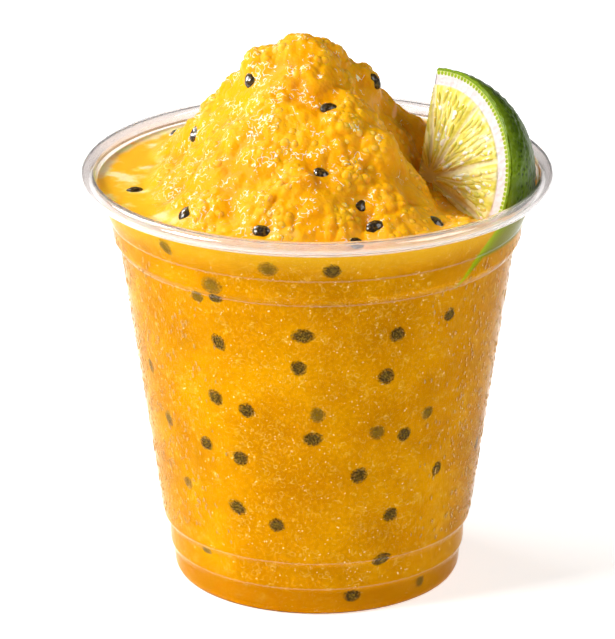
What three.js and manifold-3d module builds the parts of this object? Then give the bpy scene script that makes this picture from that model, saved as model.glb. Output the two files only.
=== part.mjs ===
// A clear plastic cup of passion fruit margarita: frozen slush heaped above the
// rim, passion fruit seeds on top, and a wedge of lime pushed in beside the heap.
// Millimetres, +Z up. The origin is the middle of the foot, on the table, and the
// front of the drink faces -Y.
import * as THREE from "three";
import { mergeVertices } from "three/addons/utils/BufferGeometryUtils.js";
import Module from "manifold-3d";

const wasm = await Module();
wasm.setup();

// Cup
const RIM_DIAMETER = 98;
const CUP_HEIGHT = 88.5;
const FOOT_DIAMETER = 57.4;
const WALL = 0.5;
const CURL_RADIUS = 1.55;
const CUP_SIDES = 54;

// Slush
const FIT_GAP = 0.3;
const SLUSH_LEVEL = 85.6;
const MOUND_RISE = 28.4;
const MOUND_AXIS = { x: -3, y: 1 };
const MOUND_FOOT = 45.5;
const MOUND_FULLNESS = 1.7;
const MOUND_TAPER = 1.75;
const POOL = { angle: 180, width: 48, retreat: 12.5 };
const NOTCH = { angle: -8, width: 28, retreat: 20 };
const BACK_RIGHT = { angle: 52, width: 38, retreat: 5 };
const SLUSH_SIDES = 64;
const TOP_RINGS = 23;

// The main lobes of the heap: place, rise and half-width
const LOBES = [
  { name: "crown", x: -1.6, y: 0.5, rise: 3.2, reach: 4 },
  { name: "left shoulder", x: -12.6, y: 1, rise: 4.2, reach: 3.6 },
  { name: "left step", x: -20.5, y: 3, rise: 1.4, reach: 3 },
  { name: "left toe", x: -27, y: 6, rise: 1.8, reach: 3.4 },
  { name: "left front", x: -14, y: -22, rise: 2, reach: 4 },
  { name: "front face", x: 6, y: -18, rise: 2.6, reach: 4.2 },
  { name: "beside the lime", x: 15.5, y: -18, rise: 3.8, reach: 3.2 },
  { name: "front lobe", x: -2, y: -32, rise: 3.8, reach: 3.6 },
  { name: "front right lobe", x: 19, y: -32, rise: 3.4, reach: 3.2 },
];
const SWELLS = 64;
const SWELL_RISE = { least: -1.3, most: 1.9 };
const SWELL_REACH = { least: 1.7, most: 3 };

// Passion fruit seeds, half sunk in the surface
const SEED = { length: 4.2, width: 3, thickness: 1.8 };
const SEED_SINK = 0.15;
const FRONT_SEEDS = [
  { x: 2.6, y: -14.8, turn: 20 },
  { x: 12, y: 4.5, turn: -35 },
  { x: -13.7, y: -3.5, turn: 60 },
  { x: -25.2, y: 0.3, turn: 35 },
  { x: -29.6, y: 27.5, turn: 10 },
  { x: -37.4, y: -7.1, turn: 15 },
  { x: -26.5, y: -27.3, turn: 40 },
  { x: -11.2, y: -37.6, turn: -10 },
  { x: 1.2, y: -27.8, turn: -30 },
  { x: 8.7, y: -30.9, turn: 85 },
  { x: 11.7, y: -35.9, turn: 40 },
  { x: 7.6, y: -39.3, turn: -5 },
  { x: 24.1, y: -28.7, turn: -25 },
];
const BACK_SEEDS = 13;
const BACK_ARC = { from: 64, to: 126 };

// Lime: half a fruit, cut once more lengthwise, its round face to the front left
const LIME_RADIUS = 22.4;
const LIME_DEPTH = 20.9;
const LIME_CENTRE = new THREE.Vector3(23.4, -3.2, 87.3);
const LIME_TURN = 47;
const LIME_TILT = 18;
const LIME_CUT = { offset: -2.9, lean: 5.4 };
const RIND = 3.8;
const CORE_RADIUS = 1.6;
const SEGMENTS = 9;
const FIRST_MEMBRANE = 27;
const PULP_BULGE = 0.5;
const EDGE_ROUND = 0.3;
const LIME_SIDES = 72;

const radians = (degrees) => THREE.MathUtils.degToRad(degrees);

// A repeatable draw from 0 to 1 for the whole number i
function draw(i) {
  const wave = Math.sin(i * 12.9898 + 4.1414) * 43758.5453;
  return wave - Math.floor(wave);
}

// How far an angle is from another, in degrees, as a bell that is 1 at the middle
function bell(angle, { angle: middle, width }) {
  const apart = ((angle - middle + 540) % 360) - 180;
  return Math.exp(-((apart / width) ** 2));
}

function hump(x, y, lobe) {
  const apart = (x - lobe.x) ** 2 + (y - lobe.y) ** 2;
  return lobe.rise * Math.exp(-apart / (2 * lobe.reach ** 2));
}

// Small swells all over the heap, spread by the golden angle
const swells = Array.from({ length: SWELLS }, (_, i) => {
  const out = (MOUND_FOOT - 4) * Math.sqrt((i + 0.5) / SWELLS);
  const turn = i * Math.PI * (3 - Math.sqrt(5));
  return {
    x: MOUND_AXIS.x + out * Math.cos(turn),
    y: MOUND_AXIS.y + out * Math.sin(turn),
    rise: THREE.MathUtils.lerp(SWELL_RISE.least, SWELL_RISE.most, draw(2 * i)),
    reach: THREE.MathUtils.lerp(SWELL_REACH.least, SWELL_REACH.most, draw(2 * i + 1)),
  };
});

// Height of the slush over the table: a fat cone whose foot draws back from the
// still pool at the left, from the lime and at the back right, with lobes on it
function slushHeight(x, y) {
  const dx = x - MOUND_AXIS.x;
  const dy = y - MOUND_AXIS.y;
  const angle = THREE.MathUtils.radToDeg(Math.atan2(dy, dx));
  const retreats = [POOL, NOTCH, BACK_RIGHT];
  const foot = retreats.reduce((r, side) => r - side.retreat * bell(angle, side), MOUND_FOOT);
  const along = Math.min(1, Math.hypot(dx, dy) / foot);
  const body = (1 - along ** MOUND_TAPER) ** MOUND_FULLNESS;
  const lobes = LOBES.reduce((sum, lobe) => sum + hump(x, y, lobe), 0);
  const small = swells.reduce((sum, swell) => sum + hump(x, y, swell), 0);
  return SLUSH_LEVEL + MOUND_RISE * body + Math.min(1, 4 * body) * (lobes + small);
}

// The way the slush surface faces at x, y
function slushNormal(x, y) {
  const step = 0.5;
  const slopeX = (slushHeight(x + step, y) - slushHeight(x - step, y)) / (2 * step);
  const slopeY = (slushHeight(x, y + step) - slushHeight(x, y - step)) / (2 * step);
  return new THREE.Vector3(-slopeX, -slopeY, 1).normalize();
}

// Outside of the cup from the middle of its base to just under the rim's curl,
// as radius and height
const wallTopRadius = RIM_DIAMETER / 2 - 2 * CURL_RADIUS + WALL;
const outerWall = [
  [0, 3.4],
  [23.6, 3],
  [25, 2.4],
  [25.9, 0.5],
  [26.5, 0],
  [FOOT_DIAMETER / 2, 0],
  [29.5, 0.5],
  [30, 1.6],
  [30.35, 5.2],
  [30.95, 6.4],
  [31.15, 11.2],
  [32.3, 12.6],
  [41, 72.6],
  [42.2, 74],
  [43, 78.5],
  [45.9, 84.8],
  [wallTopRadius, CUP_HEIGHT - CURL_RADIUS],
].map(([radius, height]) => new THREE.Vector2(radius, height));

// The same line moved inwards, away from the outside, by a distance
function moveInwards(line, distance) {
  return line.map((point, i) => {
    const before = line[Math.max(0, i - 1)];
    const after = line[Math.min(line.length - 1, i + 1)];
    const towards = point.clone().sub(before).normalize();
    const away = after.clone().sub(point).normalize();
    const run = towards.add(away).normalize();
    const inside = new THREE.Vector2(-run.y, run.x);
    const moved = point.clone().addScaledVector(inside, distance);
    return new THREE.Vector2(point.x === 0 ? 0 : moved.x, moved.y);
  });
}

function arc(centre, radius, from, to, steps) {
  return Array.from({ length: steps + 1 }, (_, i) => {
    const angle = radians(THREE.MathUtils.lerp(from, to, i / steps));
    return new THREE.Vector2(
      centre.x + radius * Math.cos(angle),
      centre.y + radius * Math.sin(angle),
    );
  });
}

// Turned from one thin closed outline: up the outside, round under the curl and
// over it, then down the inside. The outline is turned about Y and then stood up
function cupGeometry() {
  const curl = new THREE.Vector2(RIM_DIAMETER / 2 - CURL_RADIUS, CUP_HEIGHT - CURL_RADIUS);
  const curlInside = arc(curl, CURL_RADIUS - WALL, 180, -110, 5);
  const curlOutside = arc(curl, CURL_RADIUS, -110, 180, 8);
  const inside = moveInwards(outerWall, WALL).slice(0, -1).reverse();
  const outline = [...outerWall.slice(0, -1), ...curlInside, ...curlOutside, ...inside];
  return new THREE.LatheGeometry(outline, CUP_SIDES).rotateX(Math.PI / 2);
}

// Rings of points from the bottom of the slush, up beside the wall and in over
// the top, each closed round the axis, with one point at either end
function slushGeometry() {
  const contents = moveInwards(outerWall, WALL + FIT_GAP);
  const side = contents.filter((point) => point.x > 1 && point.y < SLUSH_LEVEL - 1);
  const last = contents.findIndex((point) => point.y > SLUSH_LEVEL - 1);
  const below = contents[last - 1];
  const above = contents[last];
  const share = (SLUSH_LEVEL - below.y) / (above.y - below.y);
  const brim = below.clone().lerp(above, share);
  const rings = side.map((point) => () => [point.x, point.y]);
  for (let i = 0; i < TOP_RINGS; i += 1) {
    const radius = brim.x * (1 - i / TOP_RINGS);
    rings.push((turn) => [
      radius,
      i === 0 ? SLUSH_LEVEL : slushHeight(radius * Math.cos(turn), radius * Math.sin(turn)),
    ]);
  }
  const ends = [contents[0].y, slushHeight(0, 0)];
  return ringedGeometry(rings, ends, SLUSH_SIDES);
}

// A closed skin over rings that run from a bottom point to a top point
function ringedGeometry(rings, ends, sides) {
  const positions = [0, 0, ends[0]];
  for (const ring of rings) {
    for (let side = 0; side < sides; side += 1) {
      const turn = (2 * Math.PI * side) / sides;
      const [radius, height] = ring(turn);
      positions.push(radius * Math.cos(turn), radius * Math.sin(turn), height);
    }
  }
  positions.push(0, 0, ends[1]);
  const top = positions.length / 3 - 1;
  const at = (ring, side) => 1 + ring * sides + (side % sides);
  const faces = [];
  for (let side = 0; side < sides; side += 1) {
    faces.push(0, at(0, side + 1), at(0, side));
    for (let ring = 0; ring < rings.length - 1; ring += 1) {
      faces.push(at(ring, side), at(ring, side + 1), at(ring + 1, side + 1));
      faces.push(at(ring, side), at(ring + 1, side + 1), at(ring + 1, side));
    }
    faces.push(top, at(rings.length - 1, side), at(rings.length - 1, side + 1));
  }
  const geometry = new THREE.BufferGeometry();
  geometry.setAttribute("position", new THREE.Float32BufferAttribute(positions, 3));
  geometry.setIndex(faces);
  return geometry;
}

// A low ellipsoid that lies along the slush at x, y
function seedGeometry({ x, y, turn }) {
  const normal = slushNormal(x, y);
  const heading = new THREE.Vector3(Math.cos(radians(turn)), Math.sin(radians(turn)), 0);
  const across = new THREE.Vector3().crossVectors(normal, heading).normalize();
  const along = new THREE.Vector3().crossVectors(across, normal);
  const lie = new THREE.Matrix4().makeBasis(along, across, normal);
  const place = new THREE.Vector3(x, y, slushHeight(x, y)).addScaledVector(normal, -SEED_SINK);
  return new THREE.SphereGeometry(0.5, 6, 4)
    .rotateX(Math.PI / 2)
    .scale(SEED.length, SEED.width, SEED.thickness)
    .applyMatrix4(lie)
    .translate(place.x, place.y, place.z);
}

// Seeds on the far side of the heap, as many as on the near side
function backSeeds() {
  return Array.from({ length: BACK_SEEDS }, (_, i) => {
    const share = (i + 0.2 + 0.6 * draw(i + 100)) / BACK_SEEDS;
    const angle = radians(THREE.MathUtils.lerp(BACK_ARC.from, BACK_ARC.to, share));
    const out = 12 + 9 * (i % 4) + 4 * draw(i + 200);
    return {
      x: out * Math.cos(angle),
      y: out * Math.sin(angle),
      turn: 360 * draw(i + 300),
    };
  });
}

// How far the pulp stands proud of the round face: each segment swells between
// its two membranes, and the core and the pith are level
function pulpRelief(distance, turn) {
  if (distance <= CORE_RADIUS || distance >= LIME_RADIUS - RIND) {
    return 0;
  }
  const fromMembrane = THREE.MathUtils.radToDeg(turn) - 90 + FIRST_MEMBRANE + 720;
  const across = ((fromMembrane * SEGMENTS) / 360) % 1;
  return PULP_BULGE * Math.sqrt(Math.sin(Math.PI * across));
}

// The lime in its own frame, grown by a distance: the round face in the XY plane
// looking along +Z, the domed end below it, and the lengthwise cut at -X
function limeGeometry(grow, faceHeight) {
  const radius = LIME_RADIUS + grow;
  const depth = LIME_DEPTH + grow;
  const pulp = LIME_RADIUS - RIND;
  const dome = Array.from({ length: 8 }, (_, i) => {
    const rise = radians(10 + i * 10);
    return () => [radius * Math.sin(rise), -depth * Math.cos(rise)];
  });
  const edge = (turn) => [radius, faceHeight(radius, turn) - EDGE_ROUND];
  const distances = [radius - 2 * EDGE_ROUND, pulp + 0.4, pulp - 0.2, 0.55 * pulp, CORE_RADIUS];
  const face = distances.map((distance) => (turn) => [distance, faceHeight(distance, turn)]);
  const ends = [-depth, faceHeight(0, 0)];
  const whole = solid(ringedGeometry([...dome, edge, ...face], ends, LIME_SIDES));
  const beyond = new THREE.BoxGeometry(60, 120, 120)
    .translate(LIME_CUT.offset - grow - 30, 0, 0)
    .rotateZ(radians(LIME_CUT.lean));
  return geometryOf(whole.subtract(solid(beyond)));
}

// Turns the lime's frame into the drink's: X to the viewer's right, Y up the face
function limePlace() {
  const turn = radians(LIME_TURN);
  const tilt = radians(LIME_TILT);
  const out = new THREE.Vector3(
    -Math.sin(turn) * Math.cos(tilt),
    -Math.cos(turn) * Math.cos(tilt),
    Math.sin(tilt),
  );
  const right = new THREE.Vector3(Math.cos(turn), -Math.sin(turn), 0);
  const up = new THREE.Vector3().crossVectors(out, right);
  return new THREE.Matrix4().makeBasis(right, up, out).setPosition(LIME_CENTRE);
}

function solid(geometry) {
  const bare = geometry.clone();
  bare.deleteAttribute("normal");
  bare.deleteAttribute("uv");
  const merged = mergeVertices(bare, 1e-4);
  return new wasm.Manifold(
    new wasm.Mesh({
      numProp: 3,
      vertProperties: new Float32Array(merged.attributes.position.array),
      triVerts: new Uint32Array(merged.index.array),
    }),
  );
}

function geometryOf(body) {
  const mesh = body.getMesh();
  const geometry = new THREE.BufferGeometry();
  geometry.setAttribute("position", new THREE.BufferAttribute(mesh.vertProperties, 3));
  geometry.setIndex(new THREE.BufferAttribute(mesh.triVerts, 1));
  return geometry;
}

// The wedge in its place, pressed flat where it leans on the wall of the cup
function limeInCup() {
  const wall = moveInwards(outerWall, WALL + FIT_GAP);
  const last = wall[wall.length - 1];
  const above = CUP_HEIGHT + 2 * LIME_RADIUS;
  const outline = [...wall, new THREE.Vector2(last.x, above), new THREE.Vector2(0, above)];
  const room = new THREE.LatheGeometry(outline, CUP_SIDES).rotateX(Math.PI / 2);
  const wedge = limeGeometry(0, pulpRelief).applyMatrix4(limePlace());
  return geometryOf(solid(wedge).intersect(solid(room)));
}

function slushWithSeeds() {
  const room = solid(
    limeGeometry(FIT_GAP, () => PULP_BULGE + FIT_GAP).applyMatrix4(limePlace()),
  );
  const seeds = [...FRONT_SEEDS, ...backSeeds()].map((seed) => solid(seedGeometry(seed)));
  const heap = seeds.reduce((whole, seed) => whole.add(seed), solid(slushGeometry()));
  return geometryOf(heap.subtract(room));
}

const drink = new THREE.Group();

const cup = new THREE.Mesh(
  cupGeometry(),
  new THREE.MeshStandardMaterial({
    color: 0xf4f7f8,
    roughness: 0.05,
    metalness: 0,
    transparent: true,
    opacity: 0.35,
  }),
);
cup.name = "cup";
drink.add(cup);

const slush = new THREE.Mesh(
  slushWithSeeds(),
  new THREE.MeshStandardMaterial({ color: 0xf0a608, roughness: 0.3, metalness: 0 }),
);
slush.name = "slush";
drink.add(slush);

const lime = new THREE.Mesh(
  limeInCup(),
  new THREE.MeshStandardMaterial({ color: 0x6f9a1e, roughness: 0.4, metalness: 0 }),
);
lime.name = "lime_wedge";
drink.add(lime);

export default drink;
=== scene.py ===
# %% [markdown]
# # A cup of passion fruit margarita
# A squat clear plastic cup holds a heap of crushed ice slush, with black passion fruit seeds in it and a wedge
# of lime standing at the right. The solid model gives the size and the place of each part. Here every part gets
# its finish: clear plastic, wet grains of ice, pitted seeds, lime zest, pith and pulp.

# %% Load the solid model
import math

import bpy
import numpy as np
from mathutils import Matrix, Vector
from mathutils.bvhtree import BVHTree


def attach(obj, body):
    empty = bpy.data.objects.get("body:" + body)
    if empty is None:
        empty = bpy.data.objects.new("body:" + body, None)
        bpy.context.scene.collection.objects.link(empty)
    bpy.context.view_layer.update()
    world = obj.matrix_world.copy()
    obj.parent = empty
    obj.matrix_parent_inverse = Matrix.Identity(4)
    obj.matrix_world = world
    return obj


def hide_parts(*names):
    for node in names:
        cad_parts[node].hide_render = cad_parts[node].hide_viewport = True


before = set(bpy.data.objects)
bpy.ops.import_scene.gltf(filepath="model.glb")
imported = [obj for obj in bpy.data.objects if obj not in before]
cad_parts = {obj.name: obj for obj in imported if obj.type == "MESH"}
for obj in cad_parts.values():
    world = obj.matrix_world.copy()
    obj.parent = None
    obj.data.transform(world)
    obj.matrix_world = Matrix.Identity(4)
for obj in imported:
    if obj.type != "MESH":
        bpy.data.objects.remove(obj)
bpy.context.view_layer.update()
scene = bpy.context.scene
MM = 0.001
print("solid parts:", sorted(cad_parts))

# %% [markdown]
# ## The camera
# The cup was seen from a little above and from far off, so its sides hardly converge. The camera stands 1.2 m
# away with a long lens, which keeps both rims as flat as they should be.

# %% Camera
DISTANCE, ELEVATION, YAW, AIM = 1211.8, math.radians(20.4), math.radians(-0.0935), 54.52
FOCAL_PIXELS, WIDTH_PIXELS, HEIGHT_PIXELS, SENSOR = 5803.8, 615, 639, 36.0
SEEN_TO = 20  # metres

tilted = Vector((0, math.cos(ELEVATION), -math.sin(ELEVATION)))
sideways = Vector((1, 0, 0))
forward = tilted * math.cos(YAW) + sideways * math.sin(YAW)
right = sideways * math.cos(YAW) - tilted * math.sin(YAW)
above = Vector((0, math.sin(ELEVATION), math.cos(ELEVATION)))
eye = Vector((0, -DISTANCE * math.cos(ELEVATION), AIM + DISTANCE * math.sin(ELEVATION)))

lens = bpy.data.cameras.new("camera")
lens.lens = FOCAL_PIXELS * SENSOR / HEIGHT_PIXELS
lens.sensor_width = SENSOR
lens.clip_end = SEEN_TO
camera = bpy.data.objects.new("camera", lens)
scene.collection.objects.link(camera)
camera.matrix_world = Matrix.Translation(eye * MM) @ Matrix((right, above, -forward)).transposed().to_4x4()
scene.camera = camera
print("lens of", round(lens.lens), "mm")


def sight(pixel):
    """The camera's ray through a pixel, as an origin and a direction in millimetres."""
    across = (pixel[0] - WIDTH_PIXELS / 2) / FOCAL_PIXELS
    up = (HEIGHT_PIXELS / 2 - pixel[1]) / FOCAL_PIXELS
    return np.array(eye), np.array((forward + right * across + above * up).normalized())


# %% [markdown]
# ## Floor and light
# The cup stands on a white card in an evenly lit white room, so the clear rim shows as grey and white lines. A
# soft lamp at the left models the heap, one at the back adds real glints on the wet ice beside the painted
# sparks, and one high at the right lightens the far flank over the lime. The plain view transform keeps the
# yellow of the drink as strong as it is.

# %% Floor, room and lamps
COVE_GLOW, CEILING_GLOW, CARD_GLOW = 0.86, 0.9, 0.57
COVE_TOP, CEILING_FROM = 0.1, 0.4  # heights of a direction between which the room changes, 1 being straight up
BOUNCES, FLOOR_SIZE = 40, 6  # so many bounces let light through the rolled rim; the floor is in metres
KEY_POWER, WINDOW_POWER, FILL_POWER = 11.4, 3.0, 3.7

scene.view_settings.view_transform = "Standard"
for kind in ("max_bounces", "transmission_bounces", "glossy_bounces"):
    setattr(scene.cycles, kind, BOUNCES)


def linear(code):
    """A colour from its sRGB code, as the linear values that a shader takes."""
    parts = [int(code[i : i + 2], 16) / 255 for i in (0, 2, 4)]
    return [p / 12.92 if p <= 0.04045 else ((p + 0.055) / 1.055) ** 2.4 for p in parts] + [1.0]


def add(tree, kind, inputs=None, stops=None, **settings):
    """Adds one shader node with its settings, values or links for its inputs, and the places and sRGB codes
    of a colour ramp. Gives its outputs."""
    node = tree.nodes.new("ShaderNode" + kind)
    for name, value in settings.items():
        setattr(node, name, value)
    for name, value in (inputs or {}).items():
        if isinstance(value, bpy.types.NodeSocket):
            tree.links.new(value, node.inputs[name])
        else:
            node.inputs[name].default_value = value
    if stops:
        ramp = node.color_ramp
        while len(ramp.elements) < len(stops):
            ramp.elements.new(1.0)
        for element, (place, code) in zip(ramp.elements, stops):
            element.position, element.color = place, linear(code)
    return node.outputs


def material(name, **values):
    """A new material with its shader's own values set. Gives the material, its tree and its shader."""
    made = bpy.data.materials.new(name)
    made.use_nodes = True
    shader = made.node_tree.nodes["Principled BSDF"]
    for key, value in values.items():
        shader.inputs[key.replace("_", " ")].default_value = value
    return made, made.node_tree, shader


def wire(shader, **links):
    """Leads links into a shader's inputs."""
    for key, source in links.items():
        shader.id_data.links.new(source, shader.inputs[key.replace("_", " ")])


def every(size):
    """The scale of a texture whose pattern repeats about every so many millimetres."""
    return 1 / (size * MM)


def plain_select(obj):
    """Deselects everything, then selects one object and makes it active."""
    for other in bpy.context.selected_objects:
        other.select_set(False)
    obj.select_set(True)
    bpy.context.view_layer.objects.active = obj


def fresh(shape, name, **settings):
    """Adds a plain shape under a name."""
    bpy.ops.object.select_all(action="DESELECT")
    getattr(bpy.ops.mesh, f"primitive_{shape}_add")(**settings)
    obj = bpy.context.object
    obj.name = obj.data.name = name
    return obj


def edit_whole(obj):
    """Opens one mesh for editing with all of it selected."""
    plain_select(obj)
    bpy.ops.object.mode_set(mode="EDIT")
    bpy.ops.mesh.select_all(action="SELECT")


floor = fresh("plane", "floor", size=FLOOR_SIZE)
card, _, _ = material("white card", Base_Color=linear("F6F5F4"), Roughness=0.9,
                      Emission_Color=linear("FFFFFF"), Emission_Strength=CARD_GLOW)
floor.data.materials.append(card)

room = bpy.data.worlds.new("white cove")
room.use_nodes = True
tree = room.node_tree
height = add(tree, "SeparateXYZ", {"Vector": add(tree, "TexCoord")["Generated"]})["Z"]
glow = add(tree, "MapRange", {"Value": height, "From Min": COVE_TOP, "From Max": CEILING_FROM,
                              "To Min": COVE_GLOW, "To Max": CEILING_GLOW})["Result"]
tree.links.new(glow, tree.nodes["Background"].inputs["Strength"])
scene.world = room


def lamp(name, place, aim, size, power):
    """A rectangular soft lamp at a place, turned to its aim, in metres and watts."""
    light = bpy.data.lights.new(name, "AREA")
    light.shape, light.size, light.size_y, light.energy = "RECTANGLE", size[0], size[1], power
    obj = bpy.data.objects.new(name, light)
    scene.collection.objects.link(obj)
    obj.location = place
    obj.rotation_euler = (Vector(aim) - Vector(place)).to_track_quat("-Z", "Y").to_euler()
    return obj


lamp("key lamp", (-0.73, -0.29, 0.6), (0, 0, 0.06), (0.38, 0.38), KEY_POWER)
lamp("window lamp", (-0.5, 0.45, 0.72), (0, 0, 0.09), (0.36, 0.3), WINDOW_POWER)
lamp("fill lamp", (0.7, -0.25, 0.72), (0, 0, 0.05), (0.5, 0.5), FILL_POWER)

# %% [markdown]
# ## The clear cup
# The cup is thermoformed from one thin clear sheet: a foot ring, two lines near the base, two near the rim, and
# a rim rolled outwards into a bead. A lathe profile spun round the axis gives just that. The profile is walked
# up the outside, round the bead and down the inside, its corners rounded as a mould leaves them.

# %% Cup profile
RIM_DIAMETER, WALL, CURL, BEAD_LEVEL, CORNER, CUP_STEPS = 98.0, 0.5, 1.55, 86.95, 0.6, 192
BEAD = np.array((RIM_DIAMETER / 2 - CURL, BEAD_LEVEL))
OUTER_WALL = [(0, 3.4), (23.6, 3), (25, 2.4), (25.9, 0.5), (26.5, 0), (28.7, 0), (29.5, 0.5), (30, 1.6),
              (30.35, 5.2), (30.95, 6.4), (31.15, 11.2), (32.3, 12.6), (41, 72.6), (42.2, 74), (43, 78.5),
              (45.9, 84.8), (RIM_DIAMETER / 2 - 2 * CURL + WALL, BEAD_LEVEL)]
UNDER_BEAD = -110  # where the curl ends, in degrees


def rounded(points, radius, parts=3):
    """The line with each inner corner replaced by a short curve."""
    out = [np.array(points[0], float)]
    for before, corner, after in zip(points, points[1:], points[2:]):
        before, corner, after = (np.array(p, float) for p in (before, corner, after))
        to_back, to_front = before - corner, after - corner
        reach = min(radius, 0.4 * np.linalg.norm(to_back), 0.4 * np.linalg.norm(to_front))
        start = corner + to_back / np.linalg.norm(to_back) * reach
        end = corner + to_front / np.linalg.norm(to_front) * reach
        for i in range(parts + 1):
            t = i / parts
            out.append((1 - t) ** 2 * start + 2 * t * (1 - t) * corner + t**2 * end)
    return out + [np.array(points[-1], float)]


def inwards(line, distance):
    """The line moved towards the axis and the inside of the cup by a distance."""
    line, out = [np.array(p, float) for p in line], []
    for i, point in enumerate(line):
        along = line[min(i + 1, len(line) - 1)] - line[max(i - 1, 0)]
        side = np.array((-along[1], along[0])) / np.linalg.norm(along)
        moved = point + side * distance
        out.append(np.array((0 if point[0] == 0 else max(moved[0], 0), moved[1])))
    return out


def arc(centre, radius, start, end, count):
    """Points on an arc, with its angles in degrees."""
    angles = np.radians(np.linspace(start, end, count))
    return [np.array(centre) + radius * np.array((math.cos(a), math.sin(a))) for a in angles]


outside = rounded(OUTER_WALL, CORNER)
profile = outside[:-1] + arc(BEAD, CURL - WALL, 180, UNDER_BEAD, 30) + arc(BEAD, CURL, UNDER_BEAD, 180, 40)
profile += inwards(outside[:-1], WALL)[::-1]
print("profile points:", len(profile))


# %% Spin the cup
SAME_POINT, SHARP = 0.000004, math.radians(40)  # metres, and the angle from which an edge stays sharp


def spun(name, line, steps):
    """A piece made by walking a point along a line, in millimetres, and spinning the line round the axis."""
    obj = fresh("plane", name, size=MM)
    bpy.ops.object.mode_set(mode="EDIT")
    bpy.ops.mesh.select_all(action="SELECT")
    bpy.ops.mesh.merge(type="CENTER")
    first = line[0]
    bpy.ops.transform.translate(value=(first[0] * MM, 0, first[1] * MM))
    for before, after in zip(line, line[1:]):
        step = ((after[0] - before[0]) * MM, 0, (after[1] - before[1]) * MM)
        bpy.ops.mesh.extrude_region_move(TRANSFORM_OT_translate={"value": step})
    bpy.ops.mesh.select_all(action="SELECT")
    bpy.ops.mesh.spin(steps=steps, angle=2 * math.pi, center=(0, 0, 0), axis=(0, 0, 1))
    bpy.ops.mesh.select_all(action="SELECT")
    bpy.ops.mesh.remove_doubles(threshold=SAME_POINT)
    bpy.ops.mesh.normals_make_consistent(inside=False)
    bpy.ops.object.mode_set(mode="OBJECT")
    plain_select(obj)
    bpy.ops.object.shade_smooth_by_angle(angle=SHARP)
    print(name, len(obj.data.polygons), "faces")
    return obj


cup = spun("cup_wall", profile, CUP_STEPS)

# %% [markdown]
# The plastic is clear PET, drawn smooth, with faint upright waves left by the mould and a mist of tiny beads of
# water. Where slush wets the wall from behind, the two act as one body and the drink shows through clean, so
# that stretch bends light only a little. The rolled rim bends it more, is slightly milky from being stretched,
# and has a glossy skin with the full index of PET, which mirrors the white room. The moulded edges have less of
# both, and draw thin pale lines round the cup.

# %% Clear plastic
BEAD_BOTTOM, WET_TOP, WET_FADE, BEAD_SPACING, BEAD_DEPTH = 84.9, 74.0, 12, 0.8, 0.3
BEAD_EDGE, BEAD_CROWN, BEADS = 0.5, 0.1, 0.1  # where a bead starts and is full, and how strong it shows
RIM_HAZE, EDGE_HAZE, GLOSS_OF_HAZE = 0.13, 0.04, 7
WAVE_WIDE, WAVE_SQUEEZE, WAVE_STRENGTH = 4, 0.12, 0.05
EDGES = [(6.1, 6.6), (12.3, 12.8), (72.35, 72.85), (78.3, 78.7)]  # heights of the moulded edges
RIM_IOR, WETTED_IOR, PET_IOR = 1.2, 1.07, 1.57


def plastic(name, ior, beads, tint, haze):
    """Clear PET with upright waves, with beads of dew as strong as asked for, and with some haze."""
    made, tree, shader = material(
        name, Base_Color=linear(tint), Roughness=0.03, IOR=ior, Transmission_Weight=1.0 - haze,
        Coat_Weight=min(1.0, GLOSS_OF_HAZE * haze), Coat_IOR=PET_IOR)
    spot = add(tree, "TexCoord")["Object"]
    stretched = add(tree, "Mapping", {"Vector": spot, "Scale": (1, 1, WAVE_SQUEEZE)})["Vector"]
    waves = add(tree, "TexNoise", {"Vector": stretched, "Scale": every(WAVE_WIDE), "Detail": 1.0})["Fac"]
    bumped = add(tree, "Bump", {"Height": waves, "Strength": WAVE_STRENGTH, "Distance": MM})["Normal"]
    if beads:
        drops = add(tree, "TexVoronoi", {"Vector": spot, "Scale": every(BEAD_SPACING)})["Distance"]
        domes = add(tree, "MapRange", {"Value": drops, "From Min": BEAD_EDGE,
                                       "From Max": BEAD_CROWN})["Result"]
        height = add(tree, "SeparateXYZ", {"Vector": spot})["Z"]
        below = add(tree, "MapRange", {"Value": height, "From Min": WET_TOP * MM,
                                       "From Max": (WET_TOP - WET_FADE) * MM, "To Max": beads})["Result"]
        bumped = add(tree, "Bump", {"Height": domes, "Strength": below, "Distance": BEAD_DEPTH * MM,
                                    "Normal": bumped})["Normal"]
    wire(shader, Normal=bumped)
    return made


for kind in (("clear plastic wetted from behind", WETTED_IOR, BEADS, "FDFCFA", 0.0),
             ("clear plastic in air", RIM_IOR, 0.0, "FEFAF9", RIM_HAZE),
             ("clear plastic at a moulded edge", RIM_IOR, 0.0, "F6F1EF", EDGE_HAZE)):
    cup.data.materials.append(plastic(*kind))
for polygon in cup.data.polygons:
    level = polygon.center.z / MM
    on_edge = any(low < level < high for low, high in EDGES)
    polygon.material_index = 1 if level > BEAD_BOTTOM else 2 if on_edge else 0
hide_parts("cup")
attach(cup, "root")
print("glossy faces:", sum(p.material_index > 0 for p in cup.data.polygons))

# %% [markdown]
# ## The heap of slush
# Crushed ice heaps up in soft lobes over a brim level, with a flat pool at the left. The height of each place is
# a formula: a broad dome, some large lobes where they were seen, and small swells spread by a seeded rule. One
# grid, bent into a disc, takes the height; its skirt goes down inside the cup.

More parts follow.
